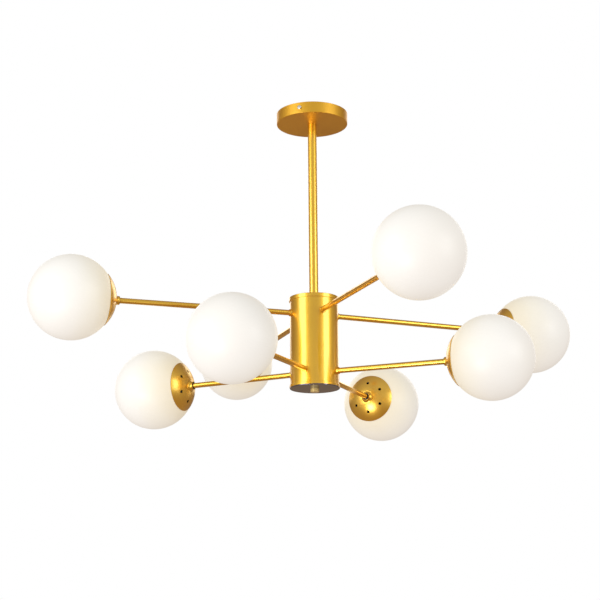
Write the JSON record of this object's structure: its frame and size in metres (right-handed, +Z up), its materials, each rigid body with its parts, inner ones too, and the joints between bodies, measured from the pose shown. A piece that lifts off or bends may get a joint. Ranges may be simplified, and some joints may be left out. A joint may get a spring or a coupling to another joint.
{
  "type": "multi arm chandelier",
  "caption": "Ceiling chandelier: a stem and drum hub carry straight gold arms in two tiers, each ending in a pierced dish cap and an opal glass globe that unscrews.",
  "frame": {"origin": "centre of the two ceiling screw slots, on the ceiling plane and the stem's axis", "axes": "+Z up into the ceiling along the stem; the first long arm points 22.5 degrees from +X towards +Y"},
  "size_m": [0.985, 0.985, 0.579],
  "materials": {
    "satin_gold": "satin gold plating with fine brushing",
    "polished_gold": "polished gold plating",
    "opal_glass": "satin opal, white and light-diffusing",
    "smoked_mirror": "gloss, smoked dark",
    "zinc_steel": "zinc plated",
    "bright_steel": "bright nickel",
    "turned_brass": "bright turned",
    "white_ceramic": "glazed",
    "lamp_plastic": "white diffuser over a screw base",
    "white_plastic": "moulded",
    "black_plastic": "moulded",
    "clear_silicone": "soft translucent",
    "lead_sheath": "smooth sheath"
  },
  "bodies": {
    "fixture": {"ceiling_plate": "zinc_steel", "canopy_cover": "satin_gold", "canopy_side_screws": "bright_steel", "canopy_lock_nut": "zinc_steel", "supply_terminal": "white_plastic", "supply_lead": "lead_sheath", "stem_nipple": "zinc_steel", "stem_end_bushes": "turned_brass", "stem_tube": "satin_gold", "hub_rod": "zinc_steel", "hub_lock_nuts": "zinc_steel", "hub_tube": "satin_gold", "hub_top_cap": "satin_gold", "hub_bottom_cap": "satin_gold", "hub_bottom_plate": "smoked_mirror", "hub_finial": "polished_gold", "hub_junction": "white_plastic", "arm_leads": "lead_sheath", "arm_collars": "satin_gold", "arm_lock_nuts": "zinc_steel", "cap_necks": "satin_gold", "neck_bushes": "black_plastic", "gallery_rings": "zinc_steel", "globe_gaskets": "clear_silicone", "lampholders": "white_ceramic", "screw_shells": "turned_brass", "centre_contacts": "turned_brass", "arm_1": "satin_gold", "cap_1": "satin_gold", "arm_2": "satin_gold", "cap_2": "satin_gold", "arm_3": "satin_gold", "cap_3": "satin_gold", "arm_4": "satin_gold", "cap_4": "satin_gold", "arm_5": "satin_gold", "cap_5": "satin_gold", "arm_6": "satin_gold", "cap_6": "satin_gold", "arm_7": "satin_gold", "cap_7": "satin_gold", "arm_8": "satin_gold", "cap_8": "satin_gold"},
    "globe_1": {"globe_1": "opal_glass"},
    "bulb_1": {"bulb_1": "lamp_plastic"},
    "globe_2": {"globe_2": "opal_glass"},
    "bulb_2": {"bulb_2": "lamp_plastic"},
    "globe_3": {"globe_3": "opal_glass"},
    "bulb_3": {"bulb_3": "lamp_plastic"},
    "globe_4": {"globe_4": "opal_glass"},
    "bulb_4": {"bulb_4": "lamp_plastic"},
    "globe_5": {"globe_5": "opal_glass"},
    "bulb_5": {"bulb_5": "lamp_plastic"},
    "globe_6": {"globe_6": "opal_glass"},
    "bulb_6": {"bulb_6": "lamp_plastic"},
    "globe_7": {"globe_7": "opal_glass"},
    "bulb_7": {"bulb_7": "lamp_plastic"},
    "globe_8": {"globe_8": "opal_glass"},
    "bulb_8": {"bulb_8": "lamp_plastic"}
  },
  "joints": [
    {"name": "globe_1_unscrew", "type": "hinge", "parent": "fixture", "child": "globe_1", "pos_m": [0.41757, 0.17296, -0.39623], "axis": [0.9238, 0.3827, -0.0105], "range_deg": [0, 540]},
    {"name": "bulb_1_unscrew", "type": "hinge", "parent": "fixture", "child": "bulb_1", "pos_m": [0.41757, 0.17296, -0.39623], "axis": [0.9238, 0.3827, -0.0105], "range_deg": [0, 1260]},
    {"name": "globe_2_unscrew", "type": "hinge", "parent": "fixture", "child": "globe_2", "pos_m": [0.128, 0.30902, -0.504], "axis": [0.3827, 0.9238, -0.0105], "range_deg": [0, 540]},
    {"name": "bulb_2_unscrew", "type": "hinge", "parent": "fixture", "child": "bulb_2", "pos_m": [0.128, 0.30902, -0.504], "axis": [0.3827, 0.9238, -0.0105], "range_deg": [0, 1260]},
    {"name": "globe_3_unscrew", "type": "hinge", "parent": "fixture", "child": "globe_3", "pos_m": [-0.17296, 0.41757, -0.39623], "axis": [-0.3827, 0.9238, -0.0105], "range_deg": [0, 540]},
    {"name": "bulb_3_unscrew", "type": "hinge", "parent": "fixture", "child": "bulb_3", "pos_m": [-0.17296, 0.41757, -0.39623], "axis": [-0.3827, 0.9238, -0.0105], "range_deg": [0, 1260]},
    {"name": "globe_4_unscrew", "type": "hinge", "parent": "fixture", "child": "globe_4", "pos_m": [-0.30902, 0.128, -0.504], "axis": [-0.9238, 0.3827, -0.0105], "range_deg": [0, 540]},
    {"name": "bulb_4_unscrew", "type": "hinge", "parent": "fixture", "child": "bulb_4", "pos_m": [-0.30902, 0.128, -0.504], "axis": [-0.9238, 0.3827, -0.0105], "range_deg": [0, 1260]},
    {"name": "globe_5_unscrew", "type": "hinge", "parent": "fixture", "child": "globe_5", "pos_m": [-0.41757, -0.17296, -0.39623], "axis": [-0.9238, -0.3827, -0.0105], "range_deg": [0, 540]},
    {"name": "bulb_5_unscrew", "type": "hinge", "parent": "fixture", "child": "bulb_5", "pos_m": [-0.41757, -0.17296, -0.39623], "axis": [-0.9238, -0.3827, -0.0105], "range_deg": [0, 1260]},
    {"name": "globe_6_unscrew", "type": "hinge", "parent": "fixture", "child": "globe_6", "pos_m": [-0.128, -0.30902, -0.504], "axis": [-0.3827, -0.9238, -0.0105], "range_deg": [0, 540]},
    {"name": "bulb_6_unscrew", "type": "hinge", "parent": "fixture", "child": "bulb_6", "pos_m": [-0.128, -0.30902, -0.504], "axis": [-0.3827, -0.9238, -0.0105], "range_deg": [0, 1260]},
    {"name": "globe_7_unscrew", "type": "hinge", "parent": "fixture", "child": "globe_7", "pos_m": [0.17296, -0.41757, -0.39623], "axis": [0.3827, -0.9238, -0.0105], "range_deg": [0, 540]},
    {"name": "bulb_7_unscrew", "type": "hinge", "parent": "fixture", "child": "bulb_7", "pos_m": [0.17296, -0.41757, -0.39623], "axis": [0.3827, -0.9238, -0.0105], "range_deg": [0, 1260]},
    {"name": "globe_8_unscrew", "type": "hinge", "parent": "fixture", "child": "globe_8", "pos_m": [0.30902, -0.128, -0.504], "axis": [0.9238, -0.3827, -0.0105], "range_deg": [0, 540]},
    {"name": "bulb_8_unscrew", "type": "hinge", "parent": "fixture", "child": "bulb_8", "pos_m": [0.30902, -0.128, -0.504], "axis": [0.9238, -0.3827, -0.0105], "range_deg": [0, 1260]}
  ]
}
